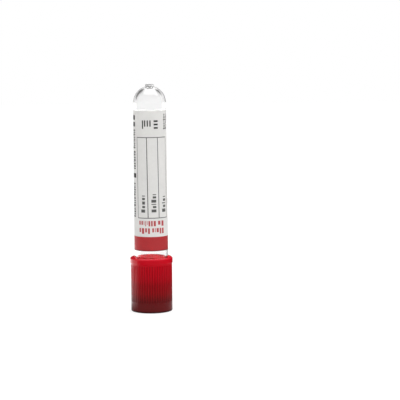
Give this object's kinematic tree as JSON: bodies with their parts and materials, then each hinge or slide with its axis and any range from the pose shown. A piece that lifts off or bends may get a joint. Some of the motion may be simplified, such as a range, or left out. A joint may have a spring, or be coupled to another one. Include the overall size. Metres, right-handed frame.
{
  "type": "blood collection tube",
  "caption": "Clear round-bottom blood collection tube with a paper label, a rubber stopper and a ribbed push-on cap that it stands on.",
  "frame": {"origin": "centre of the cap's end face, which the capped tube stands on upside down", "axes": "+Z along the tube's axis, from the cap's end face to the round end; +Y towards the label's viewing gap, so -Y is the printed front"},
  "size_m": [0.0153, 0.0152, 0.0817],
  "materials": {
    "clear_plastic": "gloss",
    "label_paper": "satin",
    "stopper_rubber": "matte",
    "cap_plastic": "gloss"
  },
  "bodies": {
    "cap": {"cap": "cap_plastic"},
    "stopper": {"stopper": "stopper_rubber"},
    "tube": {"tube": "clear_plastic", "label": "label_paper"}
  },
  "joints": [
    {"name": "twist", "type": "hinge", "parent": "cap", "child": "stopper", "pos_m": [0, 0, 0.0026], "axis": [0, 0, 1], "continuous": true},
    {"name": "pull_off", "type": "slide", "parent": "stopper", "child": "tube", "axis": [0, 0, 1], "range_m": [0, 0.02]}
  ]
}
